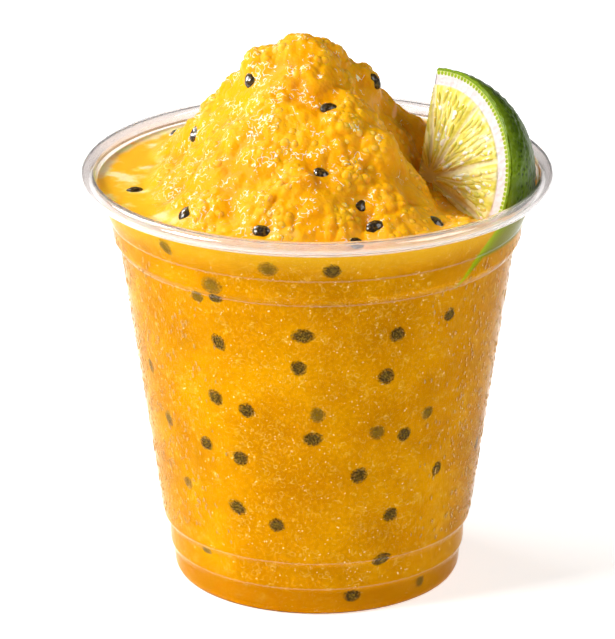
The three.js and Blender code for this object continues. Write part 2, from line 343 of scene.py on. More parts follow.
# %% Height of the heap
LEVEL, RISE, FOOT, FULL, TAPER = 85.6, 28.4, 45.5, 1.7, 1.75
PEAK = (-3.0, 1.0)
RETREATS = [(180, 48, 12.5), (-8, 28, 20), (52, 38, 5)]  # direction and width in degrees, retreat
LOBES = [(-1.6, 0.5, 3.2, 4), (5.5, 1, 1.6, 3), (-12.6, 1, 3.6, 3.6), (-20.5, 3, 1.4, 3), (-27, 6, 1.8, 3.4),
         (-14, -22, 2, 4), (6, -18, 2.6, 4.2), (15.5, -18, 3.8, 3.2), (-2, -32, 3.8, 3.6),
         (19, -32, 3.4, 3.2)]  # x, y, rise, reach
SWELLS, SWELL_MARGIN, SWELL_RISE, SWELL_REACH = 64, 4, (-1.3, 3.2), (1.7, 1.3)  # least value and spread
BUMP_FADE = 4  # the bumps fade out over the lowest quarter of the dome


def draw(i):
    """An even draw from 0 to 1, the same each time."""
    wave = math.sin(i * 12.9898 + 4.1414) * 43758.5453
    return wave - math.floor(wave)


def swells():
    """Small uneven rises and dips, spread evenly over the heap."""
    for i in range(SWELLS):
        out = (FOOT - SWELL_MARGIN) * math.sqrt((i + 0.5) / SWELLS)
        turn = i * math.pi * (3 - math.sqrt(5))
        yield (PEAK[0] + out * math.cos(turn), PEAK[1] + out * math.sin(turn),
               SWELL_RISE[0] + SWELL_RISE[1] * draw(2 * i), SWELL_REACH[0] + SWELL_REACH[1] * draw(2 * i + 1))


BUMPS = LOBES + list(swells())


def bell(across, deep, reach):
    """A round swell of height 1 that falls off over its reach."""
    return np.exp(-(across**2 + deep**2) / (2 * reach**2))


def heap_body(x, y):
    """How far up the dome each place is, from 0 on the flat to 1 at the peak."""
    across, deep = x - PEAK[0], y - PEAK[1]
    angle = np.degrees(np.arctan2(deep, across))
    foot = FOOT - sum(r * np.exp(-((((angle - a + 540) % 360 - 180) / w) ** 2)) for a, w, r in RETREATS)
    along = np.minimum(1, np.hypot(across, deep) / foot)
    return (1 - along**TAPER) ** FULL


def heap_height(x, y):
    """Height of the slush above the table, in millimetres."""
    body = heap_body(x, y)
    bumps = sum(rise * bell(x - a, y - b, reach) for a, b, rise, reach in BUMPS)
    return LEVEL + RISE * body + np.minimum(1, BUMP_FADE * body) * bumps


print("top of the heap:", round(float(heap_height(np.array(PEAK[0]), np.array(PEAK[1]))), 1), "mm")

# %% [markdown]
# The surface of the ice is packed round grains two millimetres wide. On a fine grid one cell texture presses in
# soft lumps, a second clumps, and a third the valleys between the grains. The grains stand out on the tops of
# the lumps and nearly melt together elsewhere. The pool at the left stays smooth.

# %% Shape the heap
BRIM, TOP_CELLS, SKIRT = 45.75, 306, [(45.45, 85.0), (43.2, 80.3)]  # of the skirt, radius and height
LUMP, LUMP_DEPTH, CLUMP, CLUMP_DEPTH, GRAIN, GRAIN_DEPTH, SOFTENING = 8.5, 3.2, 4.2, 0.8, 2.0, 1.5, 12
LAMP_SIDE = np.array((-0.72, -0.42, 0.55))  # towards the brightest light
DIP, DIP_DEPTH, DIP_REACH, DIP_MARGIN = (33, -16), 3.4, 5.5, 4  # the slush sinks at the foot of the lime
STILL_WIDTH, STILL_SHARE = 42, 1.5  # how far round the pool at the left reaches, in degrees, and how full
ROUGH_BY_RISE, ROUGH_LOW, ROUGH_MARGIN = 14, 0.85, 2
GRAINY, GRAINY_BY_RISE, GRAINY_BY_DRIFT, GRAINY_LEAST, GRAINY_DRIFT = 0.45, 0.4, 0.45, 0.16, 3.1
DOMED_BY_DEPTH, DOMED, DOMED_BY_RISE = 4, 0.4, 2
FROTH_SHARE, FROTH_WIDTH, FROTH_FULL, FROTH_TURN = 1.2, 3.8, 2, 0.35


def coordinates(obj):
    """The vertices of a mesh as an array, in millimetres."""
    flat = np.zeros(len(obj.data.vertices) * 3)
    obj.data.vertices.foreach_get("co", flat)
    return flat.reshape(-1, 3) / MM


def set_coordinates(obj, points):
    """Moves the vertices of a mesh, given in millimetres."""
    obj.data.vertices.foreach_set("co", (points * MM).ravel())
    obj.data.update()


def store(obj, name, values):
    """Keeps one number for each vertex of a mesh, for its material to read."""
    made = obj.data.attributes.new(name, "FLOAT", "POINT")
    made.data.foreach_set("value", np.asarray(values, np.float32))


def group(obj, name, weights):
    """A vertex group with one weight for each vertex, in steps of a twentieth."""
    made = obj.vertex_groups.new(name=name)
    steps = np.round(np.clip(weights, 0, 1) * 20).astype(int)
    for step in range(1, 21):
        members = np.flatnonzero(steps == step)
        if len(members):
            made.add(members.tolist(), step / 20, "REPLACE")
    return made


def normals(obj):
    """The outward directions at the vertices of a mesh."""
    flat = np.zeros(len(obj.data.vertices) * 3)
    obj.data.vertices.foreach_get("normal", flat)
    return flat.reshape(-1, 3)


def press_cells(obj, depth, middle, size, group_name="", metric="DISTANCE"):
    """Presses a pattern of cells into a mesh along its normals, in millimetres, and applies it."""
    texture = bpy.data.textures.new("cells", "VORONOI")
    texture.noise_scale, texture.distance_metric = size * MM, metric
    plain_select(obj)
    bpy.ops.object.modifier_add(type="DISPLACE")
    change = obj.modifiers[-1]
    change.texture, change.texture_coords = texture, "LOCAL"
    change.strength, change.mid_level, change.vertex_group = -depth * MM, middle, group_name
    bpy.ops.object.modifier_apply(modifier=change.name)


def drift(x, y, size):
    """A slow even variation over the heap, about from -1 to 1."""
    return np.sin(x / size + 1.3 * np.sin(y / size)) * np.cos(0.9 * y / size - 0.7 * np.sin(1.7 * x / size))


heap = fresh("grid", "slush_heap", x_subdivisions=TOP_CELLS, y_subdivisions=TOP_CELLS, size=2)
flat = coordinates(heap) * MM
u, v = flat[:, 0], flat[:, 1]
x, y = BRIM * u * np.sqrt(1 - v**2 / 2), BRIM * v * np.sqrt(1 - u**2 / 2)
from_wall = BRIM - np.hypot(x, y)
sunk = bell(x - DIP[0], y - DIP[1], DIP_REACH) * np.clip(from_wall / DIP_MARGIN, 0, 1)
set_coordinates(heap, np.stack([x, y, heap_height(x, y) - DIP_DEPTH * sunk], 1))
from_left = (np.degrees(np.arctan2(y, x)) % 360) - 180
still = np.clip(STILL_SHARE * np.exp(-((from_left / STILL_WIDTH) ** 2)), 0, 1)
rough = np.clip(np.maximum(heap_body(x, y) * ROUGH_BY_RISE, ROUGH_LOW - still), 0, 1)
rough *= np.clip((from_wall - 0.5) / ROUGH_MARGIN, 0, 1)
group(heap, "relief", rough)
store(heap, "rough", rough)
before_relief = coordinates(heap)
press_cells(heap, LUMP_DEPTH, 0.3, LUMP, "relief", "DISTANCE_SQUARED")
bpy.ops.object.modifier_add(type="SMOOTH")
heap.modifiers[-1].iterations = SOFTENING
bpy.ops.object.modifier_apply(modifier=heap.modifiers[-1].name)
press_cells(heap, CLUMP_DEPTH, 0.3, CLUMP, "relief", "DISTANCE_SQUARED")
raised = coordinates(heap)[:, 2] - before_relief[:, 2]
grainy = GRAINY + GRAINY_BY_RISE * raised + GRAINY_BY_DRIFT * drift(x, y, GRAINY_DRIFT)
grainy = rough * np.clip(grainy, GRAINY_LEAST, 1)
group(heap, "grainy", grainy)
packed = coordinates(heap)
press_cells(heap, GRAIN_DEPTH, 0.25, GRAIN, "grainy", "DISTANCE_SQUARED")
outwards = normals(heap)
domes = np.sum((coordinates(heap) - packed) * outwards, 1) / GRAIN_DEPTH
domed = grainy * np.clip(domes * DOMED_BY_DEPTH, 0, 1) * np.clip(DOMED + raised / DOMED_BY_RISE, 0, 1)
frothy = np.clip(FROTH_SHARE - from_wall / FROTH_WIDTH, 0, 1)
frothy *= np.clip(FROTH_FULL * np.sin(np.arctan2(y, x) - FROTH_TURN), 0, 1)
# raised steers the painted shade in the hollows, and domed the painted light on the grains that stand out.
for name, values in (("raised", raised), ("domed", domed), ("frothy", frothy),
                     # How far each place faces the brightest lamp steers where the white curls are painted as
                     # glints.
                     ("faces_lamp_side", np.clip(outwards @ LAMP_SIDE, 0, 1))):
    store(heap, name, values)
print("relief from", raised.min().round(2), "to", raised.max().round(2), "mm")

edit_whole(heap)
bpy.ops.mesh.region_to_loop()
for (wide, high), (before, level) in zip(SKIRT, [(BRIM, LEVEL)] + SKIRT):
    bpy.ops.mesh.extrude_edges_move(TRANSFORM_OT_translate={"value": (0, 0, (high - level) * MM)})
    bpy.ops.transform.resize(value=(wide / before, wide / before, 1), center_override=(0, 0, high * MM))
bpy.ops.mesh.edge_face_add()
bpy.ops.mesh.select_all(action="SELECT")
bpy.ops.mesh.normals_make_consistent(inside=False)
bpy.ops.object.mode_set(mode="OBJECT")
bpy.ops.object.shade_smooth()
print("heap faces:", len(heap.data.polygons), "highest", round(coordinates(heap)[:, 2].max(), 1))

# %% [markdown]
# Below the brim the slush is pressed flat against the plastic. The same lathe makes it, three tenths of a
# millimetre inside the outer face of the wall, so that plastic and slush share a face and no air shows between.

# %% Slush against the wall
UNDER_FACE, SIDE_TOP, SIDE_CORNER, SIDE_LONGEST, SIDE_STEPS = 0.3, 84.9, 0.1, 1.6, 240
side_line = rounded([p for p in inwards(outside, UNDER_FACE) if p[1] < SIDE_TOP], SIDE_CORNER, 1)
side_line += [np.array(p) for p in ((side_line[-1][0], 85.0), (43.4, 84.4), (42.6, 79.6), (0.0, 79.6))]


def subdivided(line, longest):
    """The line with its long parts cut into equal short ones."""
    out = [line[0]]
    for before, after in zip(line, line[1:]):
        parts = max(1, math.ceil(np.linalg.norm(after - before) / longest))
        out += [before + (after - before) * (i + 1) / parts for i in range(parts)]
    return out


body = spun("slush_body", subdivided(side_line, SIDE_LONGEST), SIDE_STEPS)

# %% [markdown]
# ## What the slush is made of
# Passion fruit juice frozen into clear grains scatters light inside, so the material is mostly subsurface with a
# strong amber. What stands up is painted paler, as painted light, and the hollows a deeper orange, as painted
# shade. On top the ice is wet, with small sharp glints, and white curls are painted on as glints too. Near the
# lime the slush is painted olive as the lime's green reflection and shade. Behind the plastic it shows no gloss,
# only fine pale specks and rings where air is caught, and a green stain where the lime leans on the wall.

# %% Frame of the lime
LIME_CENTRE = np.array((23.4, -3.2, 87.3))
LIME_TURN, LIME_TILT = math.radians(47), math.radians(18)
LIME_RADIUS, LIME_DEPTH, RIND, CORE = 22.4, 20.9, 3.8, 1.6
CUT_OFFSET, CUT_LEAN, SEGMENTS, FIRST_MEMBRANE, BULGE = -2.9, math.radians(5.4), 9, 27.0, 0.5

lime_out = np.array((-math.sin(LIME_TURN) * math.cos(LIME_TILT), -math.cos(LIME_TURN) * math.cos(LIME_TILT),
                     math.sin(LIME_TILT)))
lime_right = np.array((math.cos(LIME_TURN), -math.sin(LIME_TURN), 0.0))
lime_up = np.cross(lime_out, lime_right)
lime_axes = np.stack([lime_right, lime_up, lime_out], 1)
lime_space = dict(Location=LIME_CENTRE * MM, Scale=(LIME_RADIUS * MM, LIME_RADIUS * MM, LIME_DEPTH * MM),
                  Rotation=Matrix(lime_axes).to_euler())


def in_lime(tree, spot):
    """Nodes that turn a place into the lime's own space, where the skin is at 1, and its depth there."""
    own = add(tree, "Mapping", {"Vector": spot, **lime_space}, vector_type="TEXTURE")["Vector"]
    depth = add(tree, "VectorMath", {0: own}, operation="LENGTH")["Value"]
    return own, depth


print("the lime faces", lime_out.round(2))


# %% Painted sparks on wet ice: white curls painted in as glints
SCATTER_REACH = 1.6  # how far light wanders in the ice, in millimetres
RED_GREEN_BLUE_REACH = (1.0, 0.45, 0.05)
PAINTED_SPARK_WIDE, PAINTED_SPARK_LINE = 1.3, (0.03, 0.014)
PAINTED_SPARK_DRIFT, PAINTED_SPARK_BY_LAMP, PAINTED_SPARK_MASK, PAINTED_SPARK_MOST = 3.2, 0.13, (0.615, 0.655), 0.95


def painted_sparks(tree, spot, rough, colour):
    """The colour with fine white curls painted over it as glints, in drifts, most of them on the sides that face
    the brightest lamp.
    """
    wave = add(tree, "TexNoise", {"Vector": spot, "Scale": every(PAINTED_SPARK_WIDE), "Detail": 1.0})["Fac"]
    off = add(tree, "Math", {0: wave, 1: 0.5}, operation="SUBTRACT")["Value"]
    off = add(tree, "Math", {0: off}, operation="ABSOLUTE")["Value"]
    line = add(tree, "MapRange", {"Value": off, "From Min": PAINTED_SPARK_LINE[0],
                                  "From Max": PAINTED_SPARK_LINE[1]})["Result"]
    faces_lamp_side = add(tree, "Attribute", attribute_name="faces_lamp_side")["Fac"]
    there = add(tree, "TexNoise", {"Vector": spot, "Scale": every(PAINTED_SPARK_DRIFT), "Detail": 4.0,
                                   "Roughness": 0.65})["Fac"]
    there = add(tree, "Math", {0: faces_lamp_side, 1: PAINTED_SPARK_BY_LAMP, 2: there}, operation="MULTIPLY_ADD")["Value"]
    there = add(tree, "MapRange", {"Value": there, "From Min": PAINTED_SPARK_MASK[0], "From Max": PAINTED_SPARK_MASK[1],
                                   "To Max": PAINTED_SPARK_MOST})["Result"]
    there = add(tree, "Math", {0: there, 1: rough}, operation="MULTIPLY")["Value"]
    share = add(tree, "Math", {0: there, 1: line}, operation="MULTIPLY")["Value"]
    return add(tree, "Mix", {"Factor": share, "A": colour, "B": linear("FFF6DC")}, data_type="RGBA")["Result"]


print("sparks are curls", PAINTED_SPARK_WIDE, "mm wide, in drifts of", PAINTED_SPARK_DRIFT, "mm")

# %% Wet slush
TONE_DRIFT, TONE_SHARE, FOAM_WIDE, FINE, FINE_DEPTH, FILM_WIDE, FILM_DEPTH = 9, 2.2, 6, 1.1, 0.25, 2.0, 1.8
DOMED_MOST, FROTH_RANGE, FROTH_MOST, LIME_REFLECTION_SHADE_RANGE, LIME_REFLECTION_SHADE_MOST = 0.4, (0.22, 0.42), 0.85, (1.16, 1.0), 0.22


def wet_slush_material():
    """The open surface: tops painted yellow as light and hollows painted deep orange as shade, a paler still
    pool, and a broken wet film.
    """
    made, tree, shader = material(
        "wet slush", Roughness=0.4, IOR=1.33, Subsurface_Weight=0.6, Subsurface_Scale=SCATTER_REACH * MM,
        Subsurface_Radius=RED_GREEN_BLUE_REACH, Specular_Tint=(0.15, 0.15, 0.15, 1), Coat_Weight=0.12,
        Coat_Roughness=0.05, Coat_IOR=1.5)
    spot = add(tree, "TexCoord")["Object"]
    raised, rough, domed, frothy = (add(tree, "Attribute", attribute_name=name)["Fac"]
                                    for name in ("raised", "rough", "domed", "frothy"))
    slow, foam, fine, film = (
        add(tree, "TexNoise", {"Vector": spot, "Scale": every(size), "Detail": detail})["Fac"]
        for size, detail in ((TONE_DRIFT, 3.0), (FOAM_WIDE, 4.0), (FINE, 2.0), (FILM_WIDE, 1.5)))
    # The tone mixes a slow random drift with the relief: painted shade makes the hollows deeper orange, painted
    # light makes the tops yellow.
    height = add(tree, "Math", {0: slow, 1: TONE_SHARE, 2: raised}, operation="MULTIPLY_ADD")["Value"]
    tone = add(tree, "MapRange", {"Value": height, "From Max": TONE_SHARE})["Result"]
    colour = add(tree, "ValToRGB", {"Fac": tone}, stops=[
        (0.1, "EA9A00"), (0.4, "F6AA02"), (0.62, "FAAC04"), (0.9, "FEB210")])["Color"]
    # Painted light: the grains that stand out are made paler.
    share = add(tree, "Math", {0: domed, 1: DOMED_MOST}, operation="MULTIPLY")["Value"]
    colour = add(tree, "Mix", {"Factor": share, "A": colour, "B": linear("FFD050")}, data_type="RGBA")["Result"]
    pool = add(tree, "ValToRGB", {"Fac": foam}, stops=[
        (0.5, "FFBA22"), (0.56, "FFCB50"), (0.63, "FFE2A4")])["Color"]
    colour = add(tree, "Mix", {"Factor": rough, "A": pool, "B": colour}, data_type="RGBA")["Result"]
    froth = add(tree, "Math", {0: foam, 1: frothy}, operation="MULTIPLY")["Value"]
    _, depth = in_lime(tree, spot)
    # Froth is pale foam at the wall. Near the lime the slush is painted olive as the lime's green reflection and
    # shade.
    for value, (start, end), most, paint in ((froth, FROTH_RANGE, FROTH_MOST, "FFE6B0"),
                                             (depth, LIME_REFLECTION_SHADE_RANGE, LIME_REFLECTION_SHADE_MOST, "C0A008")):
        share = add(tree, "MapRange", {"Value": value, "From Min": start, "From Max": end,
                                       "To Max": most})["Result"]
        colour = add(tree, "Mix", {"Factor": share, "A": colour, "B": linear(paint)},
                     data_type="RGBA")["Result"]
    # White curls painted over the wet film as glints.
    colour = painted_sparks(tree, spot, rough, colour)
    soft = add(tree, "Bump", {"Height": fine, "Strength": rough, "Distance": FINE_DEPTH * MM})["Normal"]
    sharp = add(tree, "Bump", {"Height": film, "Strength": rough, "Distance": FILM_DEPTH * MM})["Normal"]
    wire(shader, Base_Color=colour, Normal=soft, Coat_Normal=sharp)
    return made


# The olive near the lime is painted reflection and shade of the lime.
print("lime juice tints the slush up to", round((LIME_REFLECTION_SHADE_RANGE[0] - 1) * LIME_RADIUS, 1), "mm from the skin")

# %% [markdown]
# Against the wall the ice is pressed flat. Its detail is colour: a fine grain, curls and rings where thin films
# of air are caught, and tiny specks. Level lines of a noise draw the curls; cells draw the rings and specks.
# Each is masked by a slower noise so that it comes in drifts. Under the rim the slush is foamy and paler. At the
# foot a darker band is painted shade.

# %% Pressed slush
BEND_WIDE, BEND, DEPTH_DRIFT, GRAIN_FINE = 1.4, 1.2, 14, 0.6
CURL_WIDE, RING_WIDE, SPECK_WIDE = 1.3, 1.7, 0.8
FOAM_LEVEL, FOAM_TALL, FOOT_TALL = 79.5, 5, 1.4
# Where the lime's skin shows through the wall: right of a leaning line and above a floor with a sloping start.
BAND_LEAN, BAND_LEFT, BAND_SLOPE, BAND_LOW, BAND_FLOOR = 0.72, -23.9, 0.94, 45.9, 77.5
BAND_RAGGED, BAND_EDGE, BAND_TONES, BAND_REACH = 0.9, 0.4, 4, (1.42, 1.36)


def pressed_slush_material():
    """The surface against the wall: smooth and matt, with fine grain, curls, rings and specks of caught air."""
    made, tree, shader = material(
        "slush pressed on the wall", Roughness=0.7, Subsurface_Weight=0.25, Subsurface_Scale=SCATTER_REACH * MM,
        Subsurface_Radius=RED_GREEN_BLUE_REACH, Specular_IOR_Level=0.0)
    spot = add(tree, "TexCoord")["Object"]
    place = add(tree, "SeparateXYZ", {"Vector": spot})
    level, height = place["X"], place["Z"]
    bend = add(tree, "TexNoise", {"Vector": spot, "Scale": every(BEND_WIDE), "Detail": 1.0})["Color"]
    bent = add(tree, "VectorMath", {0: bend, 1: [BEND * MM] * 3, 2: spot}, operation="MULTIPLY_ADD")["Vector"]
    slow, grain, wave = (add(tree, "TexNoise", {"Vector": spot, "Scale": every(size), "Detail": detail})["Fac"]
                         for size, detail in ((DEPTH_DRIFT, 4.0), (GRAIN_FINE, 2.0), (CURL_WIDE, 2.0)))
    colour = add(tree, "ValToRGB", {"Fac": slow}, stops=[
        (0.3, "C07E00"), (0.5, "D08C00"), (0.7, "E09E00")])["Color"]
    for low, high, most, paint in ((0.52, 0.66, 0.36, "F2B018"), (0.48, 0.34, 0.36, "C07800")):
        share = add(tree, "MapRange", {"Value": grain, "From Min": low, "From Max": high,
                                       "To Max": most})["Result"]
        colour = add(tree, "Mix", {"Factor": share, "A": colour, "B": linear(paint)},
                     data_type="RGBA")["Result"]
    ring, speck = (add(tree, "TexVoronoi", {"Vector": bent, "Scale": every(size)})["Distance"]
                   for size in (RING_WIDE, SPECK_WIDE))
    # The level drawn as a line, the line's two widths, the size and start of its drifts, and its strength.
    for pattern, middle, wide, thin, drift_size, sparse, most, paint in (
            (wave, 0.5, 0.03, 0.01, 2.2, 0.55, 0.3, "FFE060"),
            (ring, 0.36, 0.045, 0.015, 2.6, 0.47, 0.32, "FFE474"),
            (speck, 0.0, 0.2, 0.12, 1.9, 0.52, 1.0, "FFF4B0")):
        off = add(tree, "Math", {0: pattern, 1: middle}, operation="SUBTRACT")["Value"]
        off = add(tree, "Math", {0: off}, operation="ABSOLUTE")["Value"]
        line = add(tree, "MapRange", {"Value": off, "From Min": wide, "From Max": thin})["Result"]
        there = add(tree, "TexNoise", {"Vector": spot, "Scale": every(drift_size), "Detail": 2.0})["Fac"]
        mask = add(tree, "MapRange", {"Value": there, "From Min": sparse, "From Max": sparse + 0.08,
                                      "To Max": most})["Result"]
        share = add(tree, "Math", {0: line, 1: mask}, operation="MULTIPLY")["Value"]
        colour = add(tree, "Mix", {"Factor": share, "A": colour, "B": linear(paint)},
                     data_type="RGBA")["Result"]
    foot = EDGES[0][1]
    # Paler foam under the rim, and a darker band at the foot painted as shade.
    for start, end, most, paint in ((FOAM_LEVEL, FOAM_LEVEL + FOAM_TALL, 0.72, "FFC62C"),
                                    (foot, foot - FOOT_TALL, 0.6, "B87200")):
        share = add(tree, "MapRange", {"Value": height, "From Min": start * MM, "From Max": end * MM,
                                       "To Max": most})["Result"]
        colour = add(tree, "Mix", {"Factor": share, "A": colour, "B": linear(paint)},
                     data_type="RGBA")["Result"]
    _, depth = in_lime(tree, spot)
    border = add(tree, "Math", {0: height, 1: -BAND_LEAN, 2: level}, operation="MULTIPLY_ADD")["Value"]
    ragged = add(tree, "Math", {0: grain, 1: BAND_RAGGED * MM, 2: border}, operation="MULTIPLY_ADD")["Value"]
    under = add(tree, "Math", {0: level, 1: BAND_SLOPE, 2: BAND_LOW * MM}, operation="MULTIPLY_ADD")["Value"]
    under = add(tree, "Math", {0: under, 1: BAND_FLOOR * MM}, operation="MINIMUM")["Value"]
    over = add(tree, "Math", {0: height, 1: under}, operation="SUBTRACT")["Value"]
    left = BAND_LEFT * MM
    beyond, above_floor, near, tone = (
        add(tree, "MapRange", {"Value": value, "From Min": start, "From Max": end})["Result"]
        for value, start, end in ((ragged, left, left + BAND_EDGE * MM), (over, -0.3 * MM, 0.5 * MM),
                                  (depth, *BAND_REACH), (ragged, left, left + BAND_TONES * MM)))
    share = add(tree, "Math", {0: beyond, 1: above_floor}, operation="MULTIPLY")["Value"]
    share = add(tree, "Math", {0: share, 1: near}, operation="MULTIPLY")["Value"]
    skin = add(tree, "ValToRGB", {"Fac": tone}, stops=[
        (0.1, "A8BC08"), (0.4, "8C9A12"), (0.9, "84842A")])["Color"]
    colour = add(tree, "Mix", {"Factor": share, "A": colour, "B": skin}, data_type="RGBA")["Result"]
    wire(shader, Base_Color=colour)
    return made


heap.data.materials.append(wet_slush_material())
body.data.materials.append(pressed_slush_material())
for piece in (heap, body):
    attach(piece, "root")
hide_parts("slush")
print("on top:", heap.data.materials[0].name, "- at the wall:", body.data.materials[0].name)

# %% [markdown]
# ## Loose grains
# Round grains of ice stand a little out of the heap, like roe, and give it its bumpy outline. They sit closest
# on the tops of the lumps, and hardly at all in the hollows, where they have melted together. One small ball is
# modelled and copied to seeded places that keep a distance from each other, and all of a kind are joined. The
# seeds get their places first, so that the grains can leave room for them.

# %% Places for the seeds
FRONT_SEEDS = [(2.6, -14.8, 20), (12, 4.5, -35), (-13.7, -3.5, 60), (-25.2, 0.3, 35), (-29.6, 27.5, 10),
               (-37.4, -7.1, 15), (-26.5, -27.3, 40), (-11.2, -37.6, -10), (1.2, -27.8, -30), (8.7, -30.9, 85),
               (11.7, -35.9, 40), (7.6, -39.3, -5), (24.1, -28.7, -25)]  # x, y and turn in degrees
BACK_SEEDS, BACK_START, BACK_SPAN = 13, 64, 62  # how many, and from where round the heap, in degrees

spots = list(FRONT_SEEDS)
for i in range(BACK_SEEDS):
    angle = math.radians(BACK_START + BACK_SPAN * (i + 0.2 + 0.6 * draw(i + 100)) / BACK_SEEDS)
    out = 12 + 9 * (i % 4) + 4 * draw(i + 200)
    spots.append((out * math.cos(angle), out * math.sin(angle), 360 * draw(i + 300)))
print("seeds on top:", len(spots))

# %% Places for the grains
GRAIN_GAP, GRAIN_TRIES, SEED_CLEARANCE, GRAIN_MARGIN = 1.5, 16000, 2.6, 1.2
FEWEST, BY_DRIFT, BY_RISE, GRAIN_DRIFT = -1.15, 1.5, 0.9, 2.4  # how the chance of a grain changes over the heap
surface = BVHTree.FromPolygons(coordinates(heap).tolist(), [tuple(p.vertices) for p in heap.data.polygons])


def on_heap(x, y):
    """The point of the shaped heap over a place, and the number of the face there, in millimetres."""
    point, _, face_number, _ = surface.ray_cast(Vector((x, y, 200)), Vector((0, 0, -1)))
    return np.array(point), face_number


def pattern_of(obj):
    """Vertices and triangles of a pattern, which is then removed."""
    points = coordinates(obj) * MM
    faces = [tuple(p.vertices) for p in obj.data.polygons]
    bpy.data.objects.remove(obj)
    return points, faces


def copies(name, pattern, frames):
    """One mesh of many copies of a pattern. Each frame is a 4 by 4 array, in millimetres."""
    points, faces = pattern
    points = np.c_[points, np.ones(len(points))]
    placed = np.concatenate([(points @ np.array(f).T)[:, :3] for f in frames])
    mesh = bpy.data.meshes.new(name)
    joined = [tuple(v + i * len(points) for v in face) for i in range(len(frames)) for face in faces]
    mesh.from_pydata((placed * MM).tolist(), [], joined)
    mesh.polygons.foreach_set("use_smooth", [True] * len(mesh.polygons))
    obj = bpy.data.objects.new(name, mesh)
    scene.collection.objects.link(obj)
    print(name, len(frames), "copies,", len(mesh.polygons), "faces")
    return obj


def heap_normal(x, y, step=0.6):
    """The outward direction of the heap at a place."""
    slope_x = (heap_height(x + step, y) - heap_height(x - step, y)) / (2 * step)
    slope_y = (heap_height(x, y + step) - heap_height(x, y - step)) / (2 * step)
    normal = np.array((-slope_x, -slope_y, 1.0))
    return normal / np.linalg.norm(normal)


def seat(place, out, size, heading=(1, 0, 0)):
    """A frame at a place with its third axis outwards and its first along a heading, sized along each axis."""
    out = np.array(out, float) / np.linalg.norm(out)
    along = np.array(heading, float) - out * np.dot(heading, out)
    along /= np.linalg.norm(along)
    made = np.eye(4)
    made[:3, :3] = np.stack([along, np.cross(out, along), out], 1) * np.array(size)
    made[:3, 3] = place
    return made


# %% Scatter the grains
random = np.random.default_rng(7)
grain_places, taken = [], {}
for x, y, luck in random.uniform(-1, 1, (GRAIN_TRIES, 3)):
    x, y = x * (BRIM - GRAIN_MARGIN), y * (BRIM - GRAIN_MARGIN)
    to_seed = min(math.hypot(x - a, y - b) for a, b, _ in spots)
    if np.hypot(x, y) > BRIM - GRAIN_MARGIN or to_seed < SEED_CLEARANCE:
        continue
    point, face_number = on_heap(x, y)
    corner = heap.data.polygons[face_number].vertices[0]
    if rough[corner] < 0.5 or luck > FEWEST + BY_DRIFT * drift(x, y, GRAIN_DRIFT) + BY_RISE * raised[corner]:
        continue
    cell = tuple((point // GRAIN_GAP).astype(int))
    around = [q for i in (-1, 0, 1) for j in (-1, 0, 1) for k in (-1, 0, 1)
              for q in taken.get((cell[0] + i, cell[1] + j, cell[2] + k), [])]
    if all(np.linalg.norm(point - q) > GRAIN_GAP for q in around):
        taken.setdefault(cell, []).append(point)
        grain_places.append(point)
print("grains:", len(grain_places))

# %% Grain pieces
GRAIN_SIZES = {"small_ice_grains": (1.6, 2.0), "large_ice_grains": (2.0, 2.5)}
GRAIN_SINK, GRAIN_SQUEEZE = (0.3, 0.42), (0.88, 1.12)  # as shares of a grain's size
GRAIN_TONES, GRAIN_FILM, GRAIN_FILM_DEPTH = 6, 0.7, 0.3

grain_ice, tree, shader = material(
    "clear ice grain", Roughness=0.3, IOR=1.31, Subsurface_Weight=0.6, Subsurface_Scale=1.0 * MM,
    Subsurface_Radius=RED_GREEN_BLUE_REACH, Specular_Tint=(0.15, 0.15, 0.15, 1), Coat_Weight=0.5,
    Coat_Roughness=0.04, Coat_IOR=1.6)
spot = add(tree, "TexCoord")["Object"]
slow = add(tree, "TexNoise", {"Vector": spot, "Scale": every(GRAIN_TONES), "Detail": 2.0})["Fac"]
tone = add(tree, "ValToRGB", {"Fac": slow}, stops=[
    (0.35, "F8AA04"), (0.55, "FCB214"), (0.7, "FFC44C")])["Color"]
film = add(tree, "TexNoise", {"Vector": spot, "Scale": every(GRAIN_FILM), "Detail": 1.0})["Fac"]
bumped = add(tree, "Bump", {"Height": film, "Strength": 0.6, "Distance": GRAIN_FILM_DEPTH * MM})["Normal"]
# The grains get the same white curls painted on as glints.
wire(shader, Base_Color=painted_sparks(tree, spot, 1.0, tone), Coat_Normal=bumped)
for number, (name, (least, most)) in enumerate(GRAIN_SIZES.items()):
    frames, faces_lamp_side = [], []
    for point in grain_places[number :: len(GRAIN_SIZES)]:
        size = random.uniform(least, most)
        out = heap_normal(point[0], point[1])
        faces_lamp_side.append(max(0, float(out @ LAMP_SIDE)))
        heading = (math.cos(random.uniform(0, 6.28)), math.sin(random.uniform(0, 6.28)), 0.1)
        place = point - out * size * random.uniform(*GRAIN_SINK)
        frames.append(seat(place, out, size * random.uniform(*GRAIN_SQUEEZE, 3), heading))
    grains = copies(name, pattern_of(fresh("ico_sphere", "grain", subdivisions=2, radius=0.5)), frames)
    # How far each grain faces the brightest lamp steers its painted glints.
    store(grains, "faces_lamp_side", np.repeat(faces_lamp_side, len(grains.data.vertices) // len(frames)))
    grains.data.materials.append(grain_ice)
    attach(grains, "root")

# %% [markdown]
# ## The seeds
# A passion fruit seed is a flat pointed oval, almost black, with a pitted hard coat. One is modelled: a ball
# squeezed and drawn to a point, its pits pressed in by a cell texture. Copies lie where the seeds were seen,
# and as many lie on the side that was out of sight.

# %% One seed
SEED = (4.2, 3.0, 1.8)
SEED_SINK, SEED_LEAN = 0.25, 0.35  # how deep they lie, and how far those seen lean to the front
SEED_POINT, PIT_DEPTH, PIT_SIZE = 0.35, 60.0, 160  # pits in thousandths of the seed


